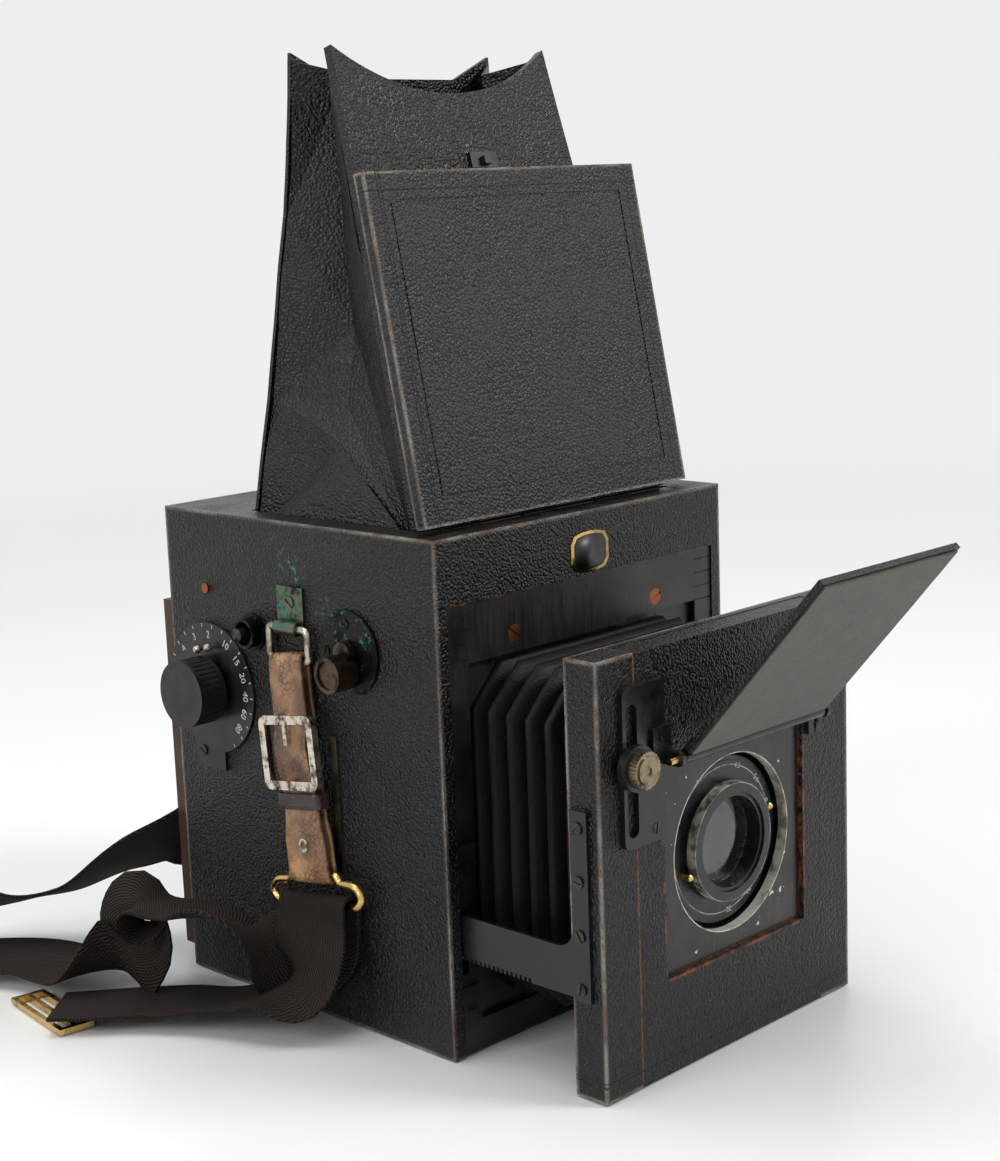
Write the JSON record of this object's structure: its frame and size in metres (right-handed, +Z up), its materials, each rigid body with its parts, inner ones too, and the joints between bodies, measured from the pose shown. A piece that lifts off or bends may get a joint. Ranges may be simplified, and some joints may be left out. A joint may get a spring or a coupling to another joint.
{
  "type": "reflex camera",
  "caption": "Box-form reflex camera with folding hood, hinged lid, front on bellows with rack focusing, sky-shade flap, revolving back and webbing neck strap.",
  "frame": {"origin": "mouth of the tripod bush in the middle of the underside", "axes": "+Z up, -Y the way the lens looks, the shutter controls on the -X side"},
  "size_m": [0.3098, 0.3841, 0.36],
  "materials": {
    "walnut": "dark varnished wood, worn at the edges",
    "case_hide": "fine-grained black-brown hide, scuffed",
    "hood_hide": "thin creased leather",
    "black_wood": "black lacquered wood",
    "black_metal": "satin black lacquer, worn",
    "brass": "dull brass with verdigris",
    "nickel": "tarnished nickel plate",
    "iron": "browned iron with worn black paint",
    "felt": "olive-grey felt",
    "tan_leather": "tan strap leather",
    "glass": "polished",
    "mirror": "front-silvered glass",
    "cloth": "rubbered black cloth",
    "webbing": "dark brown webbing"
  },
  "bodies": {
    "case": {"case_carcass": "walnut", "case_leather": "case_hide", "front_frame": "black_wood", "case_screws": "nickel", "tripod_bush": "brass", "guide_plates": "black_metal", "bellows": "hood_hide", "lid_hinge": "iron", "hood_front": "hood_hide", "hood_rear": "hood_hide", "hood_gussets": "hood_hide", "hood_catch": "iron", "focus_screen": "glass", "screen_frame": "black_wood", "shutter_dial": "black_metal", "dial_pins": "nickel", "curtain": "cloth", "button_cup": "nickel", "release_plate": "iron", "side_plates": "nickel", "strap_rings": "brass", "strap_tabs": "tan_leather", "tab_buckles": "nickel", "neck_strap": "webbing", "strap_slider": "brass", "back_ring": "black_metal"},
    "focus_drive": {"focus_shaft": "brass", "focus_knob": "nickel"},
    "standard": {"rack_arms": "iron", "arm_screws": "nickel", "standard_frame": "case_hide", "stud_collar": "nickel"},
    "rising_front": {"rising_panel": "case_hide", "lens_board": "black_wood", "lens_cup": "black_metal", "lens_barrel": "black_metal", "lens_glass": "glass", "slot_plate": "iron", "plate_screws": "nickel", "flap_brackets": "iron", "flap_rod": "brass"},
    "aperture": {"aperture_ring": "black_metal", "finger_pins": "brass"},
    "clamp": {"clamp_nut": "brass"},
    "flap": {"flap_board": "case_hide", "flap_lining": "felt", "flap_leaf": "iron"},
    "lid": {"lid_board": "case_hide", "lid_leaf": "iron"},
    "mirror": {"mirror_frame": "walnut", "mirror_glass": "mirror"},
    "winder": {"winding_knob": "black_metal"},
    "idler": {"idler_gear": "brass"},
    "top_roller": {"upper_roller": "black_metal"},
    "bottom_roller": {"lower_roller": "black_metal"},
    "button": {"plunger": "nickel"},
    "release": {"release_lever": "iron"},
    "back": {"revolving_frame": "walnut", "plate_holder": "black_wood"},
    "slide": {"dark_slide": "black_metal"}
  },
  "joints": [
    {"name": "focus_slide", "type": "slide", "parent": "case", "child": "standard", "axis": [0, 1, 0], "range_m": [-0.02, 0.038], "deforming": ["bellows"]},
    {"name": "focus_turn", "type": "hinge", "parent": "case", "child": "focus_drive", "pos_m": [0, -0.0635, 0.03277], "axis": [1, 0, 0], "range_deg": [-450, 240]},
    {"name": "front_rise", "type": "slide", "parent": "standard", "child": "rising_front", "axis": [0, 0, 1], "range_m": [-0.011, 0.02]},
    {"name": "clamp_turn", "type": "hinge", "parent": "standard", "child": "clamp", "pos_m": [-0.0552, -0.14875, 0.1166], "axis": [0, 1, 0], "range_deg": [0, 180]},
    {"name": "aperture_turn", "type": "hinge", "parent": "rising_front", "child": "aperture", "pos_m": [0.0025, -0.13175, 0.075], "axis": [0, 1, 0], "range_deg": [-70, 30]},
    {"name": "flap_hinge", "type": "hinge", "parent": "rising_front", "child": "flap", "pos_m": [0, -0.14955, 0.1165], "axis": [1, 0, 0], "range_deg": [-35, 139]},
    {"name": "lid_hinge_turn", "type": "hinge", "parent": "case", "child": "lid", "pos_m": [0, -0.0622, 0.1895], "axis": [1, 0, 0], "range_deg": [-78.9, 0], "deforming": ["hood_front", "hood_rear", "hood_gussets", "hood_catch"]},
    {"name": "release_turn", "type": "hinge", "parent": "case", "child": "release", "pos_m": [-0.078, -0.0303, 0.1451], "axis": [1, 0, 0], "range_deg": [0, 20]},
    {"name": "mirror_swing", "type": "hinge", "parent": "case", "child": "mirror", "pos_m": [0, 0.05, 0.135], "axis": [1, 0, 0], "range_deg": [-45.1, 0]},
    {"name": "wind_turn", "type": "hinge", "parent": "case", "child": "winder", "pos_m": [-0.078, 0.0519, 0.1204], "axis": [1, 0, 0], "range_deg": [0, 360], "deforming": ["curtain"]},
    {"name": "idler_turn", "type": "hinge", "parent": "case", "child": "idler", "pos_m": [-0.078, 0.0609, 0.13488], "axis": [1, 0, 0], "range_deg": [-662, 1]},
    {"name": "top_roller_turn", "type": "hinge", "parent": "case", "child": "top_roller", "pos_m": [0, 0.061, 0.14693], "axis": [1, 0, 0], "range_deg": [-1, 662]},
    {"name": "bottom_roller_turn", "type": "hinge", "parent": "case", "child": "bottom_roller", "pos_m": [0, 0.062, 0.017], "axis": [1, 0, 0], "range_deg": [-1, 790]},
    {"name": "button_press", "type": "slide", "parent": "case", "child": "button", "axis": [1, 0, 0], "range_m": [0, 0.003], "stiffness_N_per_m": 300},
    {"name": "back_turn", "type": "hinge", "parent": "case", "child": "back", "pos_m": [0, 0.076, 0.0775], "axis": [0, 1, 0], "range_deg": [0, 90], "deforming": ["neck_strap"]},
    {"name": "slide_pull", "type": "slide", "parent": "back", "child": "slide", "axis": [0, 0, 1], "range_m": [0, 0.14]}
  ],
  "couplings": [
    {"joint": "focus_turn", "follows": "focus_slide", "rad_per_m": -204.08},
    {"joint": "mirror_swing", "follows": "release_turn", "ratio": -2.25},
    {"joint": "idler_turn", "follows": "wind_turn", "ratio": -1.8333},
    {"joint": "top_roller_turn", "follows": "wind_turn", "ratio": 1.8333},
    {"joint": "bottom_roller_turn", "follows": "wind_turn", "ratio": 2.1793}
  ]
}
